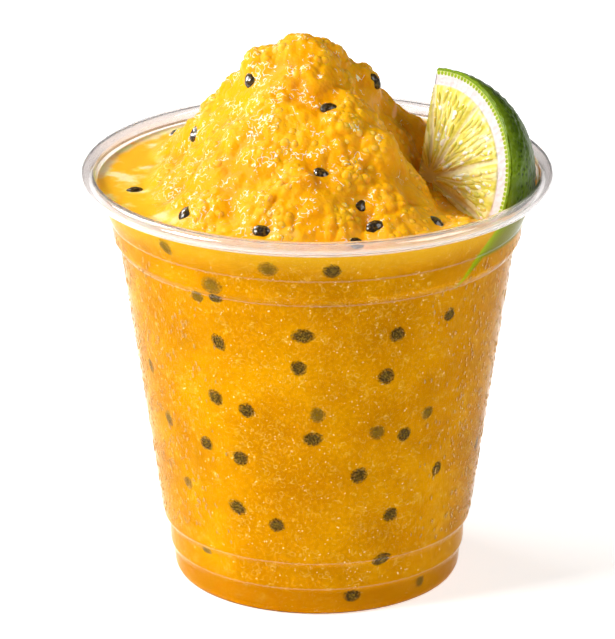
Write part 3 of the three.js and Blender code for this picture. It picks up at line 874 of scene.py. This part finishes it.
def seed_pattern(name, segments, rings, pits):
    """A flat oval seed with one blunt and one pointed end, one unit along each axis."""
    obj = fresh("uv_sphere", name, segments=segments, ring_count=rings, radius=0.5)
    points = coordinates(obj) * MM
    taper = 1 - SEED_POINT * np.clip(points[:, 0] * 2, 0, 1) ** 2
    points[:, 1] *= taper
    points[:, 2] *= taper
    set_coordinates(obj, points / MM)
    if pits:
        press_cells(obj, PIT_DEPTH, 0.0, PIT_SIZE)
    return pattern_of(obj)


seed_frames = []
for number, (x, y, turn) in enumerate(spots):
    out = heap_normal(x, y)
    if number < len(FRONT_SEEDS) and heap_body(x, y) > 0.02:
        out = out + np.array((0, -SEED_LEAN, 0))
    place = on_heap(x, y)[0] - out * SEED_SINK
    seed_frames.append(seat(place, out, SEED, (math.cos(math.radians(turn)), math.sin(math.radians(turn)), 0)))
top_seeds = copies("seeds_on_top", seed_pattern("seed", 28, 18, True), seed_frames)
# How far each part of a seed faces the brightest lamp steers its painted glints.
store(top_seeds, "faces_lamp_side", np.clip(normals(top_seeds) @ LAMP_SIDE, 0, 1))

# %% Seed coat, with painted glints
PITS_PER_METRE, PIT_BUMP, SEED_GLINT_PATCH, SEED_GLINT_RANGE, SEED_GLINT_MOST = 1900.0, 0.4, 0.8, (1.5, 1.56), 0.95

seed_coat, tree, shader = material("passion fruit seed", Roughness=0.4, IOR=1.4, Specular_IOR_Level=0.2,
                                   Coat_Weight=0.9, Coat_Roughness=0.05)
spot = add(tree, "TexCoord")["Object"]
pits = add(tree, "TexVoronoi", {"Vector": spot, "Scale": PITS_PER_METRE})["Distance"]
tone = add(tree, "ValToRGB", {"Fac": pits}, stops=[(0.1, "120C03"), (0.5, "2C1E06"), (0.8, "5E4510")])["Color"]
faces_lamp_side = add(tree, "Attribute", attribute_name="faces_lamp_side")["Fac"]
# Painted glints: white patches on the sides of a seed that face the brightest lamp.
glint_patches = add(tree, "TexNoise", {"Vector": spot, "Scale": every(SEED_GLINT_PATCH), "Detail": 1.0})["Fac"]
painted_glint = add(tree, "Math", {0: glint_patches, 1: faces_lamp_side}, operation="ADD")["Value"]
painted_glint = add(tree, "MapRange", {"Value": painted_glint, "From Min": SEED_GLINT_RANGE[0], "From Max": SEED_GLINT_RANGE[1],
                               "To Max": SEED_GLINT_MOST})["Result"]
tone = add(tree, "Mix", {"Factor": painted_glint, "A": tone, "B": linear("FFFFFF")}, data_type="RGBA")["Result"]
bumped = add(tree, "Bump", {"Height": pits, "Strength": 0.6, "Distance": PIT_BUMP * MM})["Normal"]
wire(shader, Base_Color=tone, Normal=bumped)
top_seeds.data.materials.append(seed_coat)
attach(top_seeds, "root")
print("seed coat on", len(seed_frames), "seeds")

# %% [markdown]
# Other seeds lie against the wall, where the plastic shows them as dark patches with a soft, broken edge,
# because thin slush creeps in between. Each is a flat cap that just reaches into the plastic; a mask from its
# own centre outwards thins its colour at the border.

# %% Seeds against the wall
# Across and down in pixels, then the turn in degrees and the length and width in millimetres.
WALL_SEEDS = [
    (216, 298, 10, 3.0, 2.5), (332, 271, 0, 3.4, 2.9), (219, 342, -60, 3.6, 2.3), (303, 336, 0, 4.3, 2.6),
    (299, 368, 20, 3.0, 2.8), (397, 334, 80, 3.1, 2.7), (386, 376, 85, 3.4, 2.8), (449, 314, 60, 2.8, 2.3),
    (216, 397, -50, 3.5, 2.6), (247, 410, 75, 3.2, 2.8), (313, 439, 10, 3.9, 2.5), (404, 434, 60, 3.1, 2.4),
    (207, 443, -35, 3.0, 2.5), (241, 458, 30, 3.2, 2.8), (359, 475, 60, 3.5, 2.7), (436, 468, 78, 3.2, 2.0),
    (238, 507, -30, 3.8, 2.5), (277, 525, -20, 3.1, 2.6), (390, 514, 30, 3.1, 2.6), (381, 559, 28, 3.6, 2.5),
    (352, 595, 10, 3.3, 2.5)]
FAINT_SEEDS = [
    (166, 247, -60, 3.6, 2.4), (198, 296, -40, 2.9, 2.4), (268, 269, 0, 3.8, 3.0), (212, 285, 0, 4.4, 3.0),
    (152, 365, -75, 3.2, 1.8), (170, 418, -65, 3.2, 2.2), (189, 482, -70, 2.8, 2.2), (318, 415, 0, 2.9, 2.8),
    (377, 432, 40, 3.0, 2.8), (427, 412, 50, 2.9, 2.3), (208, 550, -60, 3.0, 2.4), (419, 581, 0, 2.4, 2.2),
    (475, 443, 80, 3.0, 1.8)]
# The seeds seen, how many lie on the far side, their darkest and lightest colour, and how strongly they show.
PATCHES = {"dark": (WALL_SEEDS, 24, "46340A", "9C7A22", 0.93),
           "faint": (FAINT_SEEDS, 8, "6A5610", "B48E20", 0.66)}
PATCH_SIZE, PATCH_THICK, PATCH_DEPTH, MEETS_WALL = (1.2, 1.4), 0.5, 0.36, 0.4
HIDDEN_LONG, HIDDEN_WIDE, HIDDEN_DRAWS, GOLDEN = (3.6, 4.8), (3.0, 3.4), 400, 0.618
WALL_LOW, WALL_HIGH = 3, 84  # between these heights a piece on the wall leans with it
wall_line = np.array([p for p in outside if p[0] > 29])


def wall_radius(height, distance):
    """Radius of the wall's outer face at a height, less a distance."""
    return np.interp(height, wall_line[:, 1], wall_line[:, 0]) - distance


def on_wall(pixel, distance):
    """Where the camera's ray through a pixel first meets the cup's wall, by small steps."""
    origin, way = sight(pixel)
    for step in np.arange(DISTANCE - 70, DISTANCE + 20, 0.05):
        point = origin + way * step
        if 0 < point[2] < 88 and np.hypot(point[0], point[1]) < wall_radius(point[2], distance):
            return point


def wall_frame(point, size, turn, distance):
    """A frame on the wall facing outwards, its heading turned from the level by some degrees."""
    around = math.atan2(point[1], point[0])
    high = min(max(point[2], WALL_LOW), WALL_HIGH)
    rise = (wall_radius(high + 1, 0) - wall_radius(high - 1, 0)) / 2
    out = np.array((math.cos(around), math.sin(around), -rise))
    radius = wall_radius(high, distance)
    place = np.array((radius * math.cos(around), radius * math.sin(around), high))
    level = np.array((-math.sin(around), math.cos(around), 0))
    tilt = math.radians(turn)
    return seat(place, out, size, level * math.cos(tilt) + np.cross(out, level) * math.sin(tilt))


def back_places(count):
    """Seeded places on the far half of the wall."""
    for i in range(count):
        angle = math.radians(10 + 160 * (i * GOLDEN % 1.0))
        high = 6 + 74 * (i + draw(HIDDEN_DRAWS + i)) / count
        yield np.array((math.cos(angle) * 30, math.sin(angle) * 30, high))


print("first wall seed at", on_wall(WALL_SEEDS[0][:2], MEETS_WALL).round(1))

# %% Patches behind the plastic
MOTTLE, MOTTLE_SHARE, PATCH_EDGE = 0.3, 1.8, (1.95, 1.4)


def patch_material(name, dark, light, strongest):
    """A seed seen through plastic and thin slush: brown, mottled, fading at its border."""
    made, tree, shader = material(name, Roughness=0.6, Specular_IOR_Level=0.1)
    spot = add(tree, "TexCoord")["Object"]
    mottle = add(tree, "TexNoise", {"Vector": spot, "Scale": every(MOTTLE), "Detail": 2.0})["Fac"]
    tone = add(tree, "ValToRGB", {"Fac": mottle}, stops=[(0.48, dark), (0.62, light)])["Color"]
    away = add(tree, "Attribute", attribute_name="away")["Fac"]
    broken = add(tree, "Math", {0: mottle, 1: MOTTLE_SHARE, 2: away}, operation="MULTIPLY_ADD")["Value"]
    cover = add(tree, "MapRange", {"Value": broken, "From Min": PATCH_EDGE[0], "From Max": PATCH_EDGE[1],
                                   "To Max": strongest})["Result"]
    wire(shader, Base_Color=tone, Alpha=cover)
    return made


random = np.random.default_rng(11)
for name, (seen, hidden, dark, light, strongest) in PATCHES.items():
    frames = [wall_frame(on_wall((pixel_x, pixel_y), MEETS_WALL),
                         (long * PATCH_SIZE[0], wide * PATCH_SIZE[1], PATCH_THICK), turn, PATCH_DEPTH)
              for pixel_x, pixel_y, turn, long, wide in seen]
    frames += [wall_frame(place, (random.uniform(*HIDDEN_LONG), random.uniform(*HIDDEN_WIDE), PATCH_THICK),
                          random.uniform(0, 180), PATCH_DEPTH) for place in back_places(hidden)]
    pattern = seed_pattern("patch", 32, 16, False)
    patch = copies(f"{name}_seeds_at_the_wall", pattern, frames)
    store(patch, "away", np.tile(np.hypot(pattern[0][:, 0], pattern[0][:, 1]) * 2, len(frames)))
    patch.data.materials.append(patch_material(f"{name} seed behind plastic", dark, light, strongest))
    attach(patch, "root")

# %% [markdown]
# Cold plastic gathers dew. The drops are flat upright ovals about half a millimetre wide and a millimetre tall.
# They cling to the left and right sides, away from the front and back, and take the colour of the drink.

# %% Dew on the wall
DEW_TRIES, DEW_LEAST, DEW_SPREAD, DEW_LOW, DEW_TALL = 5600, 0.35, 0.6 - 0.35, 14.0, 77.0 - 14.0
DEW_STRETCH, DEW_FLAT, DEW_LEAN = 2.2, 0.26, 12  # length and thickness as shares of the width; degrees
DEW_MOST, DEW_FROM, DEW_EVEN, DEW_DRIFT = 2.2, 0.5, 0.8, 0.4  # how the chance of a drop changes round the cup

random = np.random.default_rng(23)
dew_frames = []
for turn, high, luck, size in random.uniform(0, 1, (DEW_TRIES, 4)):
    around, high = 2 * math.pi * turn, DEW_LOW + DEW_TALL * high
    patchy = DEW_EVEN + DEW_DRIFT * drift(8 * around, high, 4.0)
    if luck > DEW_MOST * max(0, abs(math.cos(around)) - DEW_FROM) * patchy:
        continue
    wide = DEW_LEAST + DEW_SPREAD * size**2
    place = np.array((math.cos(around), math.sin(around), high))
    dew_frames.append(wall_frame(place, (wide * DEW_STRETCH, wide, DEW_FLAT * wide),
                                 90 + DEW_LEAN * drift(high, 9 * turn, 0.4), 0.0))
dew = copies("dew_drops", pattern_of(fresh("ico_sphere", "drop", subdivisions=2, radius=0.5)), dew_frames)
water, _, _ = material("dew with fine mist", Base_Color=linear("F2BE5A"), Roughness=0.2, IOR=1.33,
                       Transmission_Weight=0.5)
dew.data.materials.append(water)
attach(dew, "root")

# %% [markdown]
# ## The lime wedge
# The wedge is cut from one end of a lime: half of the fruit behind a round cut face, with a second cut along
# the fruit. Every cut goes through the same layers, zest, pith and pulp, so one solid pattern in the fruit's
# own space colours the skin and both cuts, as in a real fruit.

# %% Lime helpers
def to_lime(points):
    """Points from the lime's own frame (right, up, out of its face) to the table's frame."""
    return points @ lime_axes.T + LIME_CENTRE


def cut_wedge(obj):
    """Cuts a piece in the lime's own frame by the wedge's second cut and closes it."""
    edit_whole(obj)
    bpy.ops.mesh.bisect(plane_co=(CUT_OFFSET * MM, 0, 0), plane_no=(math.cos(CUT_LEAN), math.sin(CUT_LEAN), 0),
                        clear_inner=True, use_fill=True)
    bpy.ops.mesh.select_all(action="SELECT")
    bpy.ops.mesh.normals_make_consistent(inside=False)
    bpy.ops.object.mode_set(mode="OBJECT")
    bpy.ops.object.shade_smooth_by_angle(angle=SHARP)
    print(obj.name, len(obj.data.polygons), "faces")


print("the middle of the fruit:", to_lime(np.zeros(3)).round(1))

# %% [markdown]
# The body starts as a ball, stretched to the fruit's size. It is cut flat at the face and along the wedge, and
# the cut openings are filled. Its skin gets shallow dimples.

# %% Lime body
DIMPLE_DEPTH, DIMPLE, FACE_SINK = 0.4, 1.5, 0.1

lime = fresh("uv_sphere", "lime", segments=160, ring_count=96, radius=1)
set_coordinates(lime, coordinates(lime) * MM * np.array((LIME_RADIUS, LIME_RADIUS, LIME_DEPTH)))
press_cells(lime, DIMPLE_DEPTH, 0.4, DIMPLE)
edit_whole(lime)
bpy.ops.mesh.bisect(plane_co=(0, 0, -FACE_SINK * MM), plane_no=(0, 0, 1), clear_outer=True, use_fill=True)
bpy.ops.object.mode_set(mode="OBJECT")
cut_wedge(lime)

# %% [markdown]
# The cut face is modelled apart, on a fine grid: pulp stands a little proud in nine segments, membranes and
# pith lie lower. The height of each place follows from its distance to the nearest membrane.

# %% Lime face
FACE_CELLS, FACE_RADIUS, PULP_RADIUS = 190, LIME_RADIUS - 0.12, LIME_RADIUS - RIND + 0.35
MEMBRANE, SWELL_WIDE, FACE_EDGE, EDGE_RISE, FACE_SKIRT, SKIRT_SHARE = 0.28, 1.3, 0.5, 0.12, 0.7, 0.98


def membrane_distance(across, up):
    """Distance to the nearest membrane, and to the edge of the pulp, in the plane of the face."""
    radius = np.hypot(across, up)
    angle = (np.degrees(np.arctan2(across, up)) - FIRST_MEMBRANE) % (360 / SEGMENTS)
    nearest = np.radians(np.minimum(angle, 360 / SEGMENTS - angle))
    return np.minimum(radius * np.sin(nearest) - MEMBRANE, np.minimum(PULP_RADIUS - radius, radius - CORE))


def rounded_edge(share):
    """A quarter circle's height, from 0 at the edge to 1 where the share is 1."""
    return np.sqrt(1 - (1 - share) ** 2)


face = fresh("grid", "lime_face", x_subdivisions=FACE_CELLS, y_subdivisions=FACE_CELLS, size=2)
flat = coordinates(face) * MM
u, v = flat[:, 0], flat[:, 1]
across, up = u * np.sqrt(1 - v**2 / 2) * FACE_RADIUS, v * np.sqrt(1 - u**2 / 2) * FACE_RADIUS
inside = np.clip(membrane_distance(across, up) / SWELL_WIDE, 0, 1)
edge = np.clip((FACE_RADIUS - np.hypot(across, up)) / FACE_EDGE, 0, 1)
high = BULGE * rounded_edge(inside) + EDGE_RISE * rounded_edge(edge) - EDGE_RISE / 2
set_coordinates(face, np.stack([across, up, high], 1))
edit_whole(face)
bpy.ops.mesh.region_to_loop()
bpy.ops.mesh.extrude_edges_move(TRANSFORM_OT_translate={"value": (0, 0, -FACE_SKIRT * MM)})
bpy.ops.transform.resize(value=(SKIRT_SHARE, SKIRT_SHARE, 1), center_override=(0, 0, 0))
bpy.ops.mesh.edge_face_add()
bpy.ops.object.mode_set(mode="OBJECT")
cut_wedge(face)

# %% [markdown]
# Pulp is made of juice sacs: slim tear drops with their thin ends towards the middle. They are laid in rows in
# each segment, with the widest rows outside, each a little different.

# %% Juice sacs
SAC_ROWS = [(4.4, 4.6), (7.2, 5.0), (10.2, 5.2), (13.2, 5.0), (16.0, 4.2)]  # distance from the middle, length
SAC_WIDTH, SAC_THICK, SAC_THIN, SAC_SINK = 1.25, 1.1, 0.28, 0.06
TO_MEMBRANE, TO_CUT = 0.45, 1.0  # sacs closer to these are left out


def sac_pattern():
    """A tear drop one unit long and wide, thin at its first end."""
    obj = fresh("uv_sphere", "sac", segments=10, ring_count=8, radius=0.5, rotation=(0, math.pi / 2, 0))
    bpy.ops.object.transform_apply(location=False, rotation=True, scale=False)
    points = coordinates(obj) * MM
    slim = SAC_THIN + (1 - SAC_THIN) * np.clip((points[:, 0] + 0.5) / 0.8, 0, 1)
    points[:, 1:] *= slim[:, None]
    set_coordinates(obj, points / MM)
    return pattern_of(obj)


random = np.random.default_rng(5)
sac_frames = []
for segment in range(SEGMENTS):
    start = FIRST_MEMBRANE + segment * 360 / SEGMENTS
    for radius, length in SAC_ROWS:
        count = max(1, round(math.radians(360 / SEGMENTS) * radius / SAC_WIDTH))
        for i in range(count):
            share = (i + 0.5 + random.uniform(-0.2, 0.2)) / count
            turn = math.radians(start + 360 / SEGMENTS * share)
            away = radius + random.uniform(-0.9, 0.9)
            across, up = away * math.sin(turn), away * math.cos(turn)
            gap = membrane_distance(np.array(across), np.array(up))
            kept = (across - CUT_OFFSET) * math.cos(CUT_LEAN) + up * math.sin(CUT_LEAN)
            if gap < TO_MEMBRANE or kept < TO_CUT:
                continue
            lean = turn + math.radians(random.uniform(-9, 9))
            wide = SAC_WIDTH * random.uniform(0.8, 1.25) * min(1, gap + 0.3)
            out = np.array((random.uniform(-0.12, 0.12), random.uniform(-0.12, 0.12), 1))
            sac_frames.append(seat((across, up, BULGE - SAC_SINK), out,
                                   (length * random.uniform(0.75, 1.1), wide, SAC_THICK),
                                   (math.sin(lean), math.cos(lean), 0)))
sacs = copies("lime_juice_sacs", sac_pattern(), sac_frames)

for piece in (lime, face, sacs):
    points = to_lime(coordinates(piece))
    room = wall_radius(points[:, 2], WALL)
    points[:, :2] *= np.minimum(1, room / np.hypot(points[:, 0], points[:, 1]))[:, None]
    set_coordinates(piece, points)

# %% [markdown]
# The lime's material reads how deep each point lies in the fruit: 1 is the skin. Zest is deep green with darker
# oil glands, its inner edge bright green; pith is cream white; pulp is yellow-green with pale membranes.

# %% Lime material
GLANDS_PER_METRE, BLOTCHES_PER_METRE, GLAND, GLAND_MOST = 830.0, 90.0, (0.4, 0.15), 0.85
BRIGHT_FROM, BRIGHT_MOST = -0.16, 0.75  # the bright green edge by the cut
GLANDS_ROUND, GLAND_DEPTH, GLAND_DOT = 140, 0.953, (0.021, 0.015)  # oil glands in the cut zest
MEMBRANE_WIDE, PULP_EDGE, SKIN_EDGE = (0.026, 0.014), (0.848, 0.836), (0.978, 0.986)
STREAKS = (16.0, 2.6, 3.0)  # round the fruit, outwards and into it
PEEL_BUMP = 0.6
SECTOR = 2 * math.pi / SEGMENTS


def lime_material(name):
    """Solid pattern of the fruit from skin to pulp."""
    made, tree, shader = material(name, Roughness=0.42, IOR=1.4, Specular_IOR_Level=0.1, Coat_Weight=0.25,
                                  Coat_Roughness=0.1, Coat_IOR=1.45)
    spot = add(tree, "TexCoord")["Object"]
    own, depth = in_lime(tree, spot)
    split = add(tree, "SeparateXYZ", {"Vector": own})
    turn = add(tree, "Math", {0: split["X"], 1: split["Y"]}, operation="ARCTAN2")["Value"]
    glands = add(tree, "TexVoronoi", {"Vector": spot, "Scale": GLANDS_PER_METRE})["Distance"]
    slow = add(tree, "TexNoise", {"Vector": spot, "Scale": BLOTCHES_PER_METRE, "Detail": 3.0})["Fac"]
    zest = add(tree, "ValToRGB", {"Fac": slow}, stops=[
        (0.3, "344C00"), (0.5, "486200"), (0.72, "6A8804")])["Color"]
    for value, (start, end), most, paint in ((glands, GLAND, GLAND_MOST, "1F3202"),
                                             (split["Z"], (BRIGHT_FROM, 0.0), BRIGHT_MOST, "8CA81A")):
        share = add(tree, "MapRange", {"Value": value, "From Min": start, "From Max": end,
                                       "To Max": most})["Result"]
        zest = add(tree, "Mix", {"Factor": share, "A": zest, "B": linear(paint)}, data_type="RGBA")["Result"]
    layers = add(tree, "ValToRGB", {"Fac": depth}, stops=[
        (0.838, "DCD090"), (0.85, "E6DADC"), (0.93, "E6DADA"), (0.955, "DAD8AE"), (0.97, "C4CE6A"),
        (0.98, "4F7A08")])["Color"]

    # A ring of round oil glands in the cut zest.
    along = turn
    for operation, value in (("MULTIPLY", GLANDS_ROUND / (2 * math.pi)), ("FRACT", 0.0), ("SUBTRACT", 0.5),
                             ("MULTIPLY", 2 * math.pi / GLANDS_ROUND)):
        along = add(tree, "Math", {0: along, 1: value}, operation=operation)["Value"]
    inwards_of = add(tree, "Math", {0: depth, 1: GLAND_DEPTH}, operation="SUBTRACT")["Value"]
    from_gland = add(tree, "CombineXYZ", {"X": along, "Y": inwards_of})["Vector"]
    from_gland = add(tree, "VectorMath", {0: from_gland}, operation="LENGTH")["Value"]

    # Membranes between the segments, and juice drawn out in streaks.
    off = turn
    for operation, value in (("SUBTRACT", math.radians(FIRST_MEMBRANE)), ("WRAP", SECTOR),
                             ("SUBTRACT", SECTOR / 2), ("ABSOLUTE", 0.0)):
        off = add(tree, "Math", {0: off, 1: value, 2: 0.0}, operation=operation)["Value"]
    flat_radius = add(tree, "VectorMath", {0: own, 1: (1.0, 1.0, 0.0)}, operation="MULTIPLY")["Vector"]
    around = add(tree, "VectorMath", {0: flat_radius}, operation="LENGTH")["Value"]
    from_side = add(tree, "Math", {0: SECTOR / 2, 1: off}, operation="SUBTRACT")["Value"]
    gap = add(tree, "Math", {0: from_side, 1: around}, operation="MULTIPLY")["Value"]
    streaks = add(tree, "CombineXYZ", {"X": turn, "Y": around, "Z": split["Z"]})["Vector"]
    drawn = add(tree, "VectorMath", {0: streaks, 1: STREAKS}, operation="MULTIPLY")["Vector"]
    cells = add(tree, "TexVoronoi", {"Vector": drawn, "Scale": 1.0})["Distance"]
    juice = add(tree, "ValToRGB", {"Fac": cells}, stops=[
        (0.1, "CEC23C"), (0.45, "E4D866"), (0.8, "F6EEB0")])["Color"]

    dot, membrane, in_pulp, on_skin = (
        add(tree, "MapRange", {"Value": value, "From Min": start, "From Max": end})["Result"]
        for value, (start, end) in ((from_gland, GLAND_DOT), (gap, MEMBRANE_WIDE), (depth, PULP_EDGE),
                                    (depth, SKIN_EDGE)))
    inner = add(tree, "Mix", {"Factor": membrane, "A": juice, "B": linear("F0E6B4")},
                data_type="RGBA")["Result"]
    colour = layers
    for share, paint in ((dot, linear("93AE1A")), (in_pulp, inner), (on_skin, zest)):
        colour = add(tree, "Mix", {"Factor": share, "A": colour, "B": paint}, data_type="RGBA")["Result"]
    bump_height = add(tree, "Math", {0: cells, 1: 0.5, 2: glands}, operation="MULTIPLY_ADD")["Value"]
    bumped = add(tree, "Bump", {"Height": bump_height, "Strength": 0.6, "Distance": PEEL_BUMP * MM})["Normal"]
    wire(shader, Base_Color=colour, Normal=bumped)
    return made


fruit = lime_material("lime from skin to pulp")
for piece in (lime, face):
    piece.data.materials.append(fruit)
print("lime wedge and face share", fruit.name)

# %% Skin of the juice sacs, with painted glints
SAC_SCATTER, TONES_PER_METRE, PAINTED_SAC_GLINT_WIDE, PAINTED_SAC_GLINT, PAINTED_SAC_GLINT_MOST = 0.5, 260.0, 1.7, (0.57, 0.62), 0.9

sac_skin, tree, shader = material(
    "lime juice sac", Roughness=0.3, IOR=1.36, Subsurface_Weight=0.3, Subsurface_Scale=SAC_SCATTER * MM,
    Specular_IOR_Level=0.3, Coat_Weight=0.7, Coat_Roughness=0.05, Coat_IOR=1.4)
spot = add(tree, "TexCoord")["Object"]
slow = add(tree, "TexNoise", {"Vector": spot, "Scale": TONES_PER_METRE, "Detail": 2.0})["Fac"]
tone = add(tree, "ValToRGB", {"Fac": slow}, stops=[
    (0.3, "D2C63E"), (0.5, "E6DA66"), (0.72, "F8F0B2")])["Color"]
# Painted glints: white marks on the sacs where a noise is high.
wave = add(tree, "TexNoise", {"Vector": spot, "Scale": every(PAINTED_SAC_GLINT_WIDE), "Detail": 1.0})["Fac"]
painted_glint = add(tree, "MapRange", {"Value": wave, "From Min": PAINTED_SAC_GLINT[0], "From Max": PAINTED_SAC_GLINT[1],
                               "To Max": PAINTED_SAC_GLINT_MOST})["Result"]
tone = add(tree, "Mix", {"Factor": painted_glint, "A": tone, "B": linear("FFFDF2")}, data_type="RGBA")["Result"]
wire(shader, Base_Color=tone)
sacs.data.materials.append(sac_skin)
for piece in (lime, face, sacs):
    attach(piece, "root")
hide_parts("lime_wedge")
print("juice sacs:", len(sac_frames))
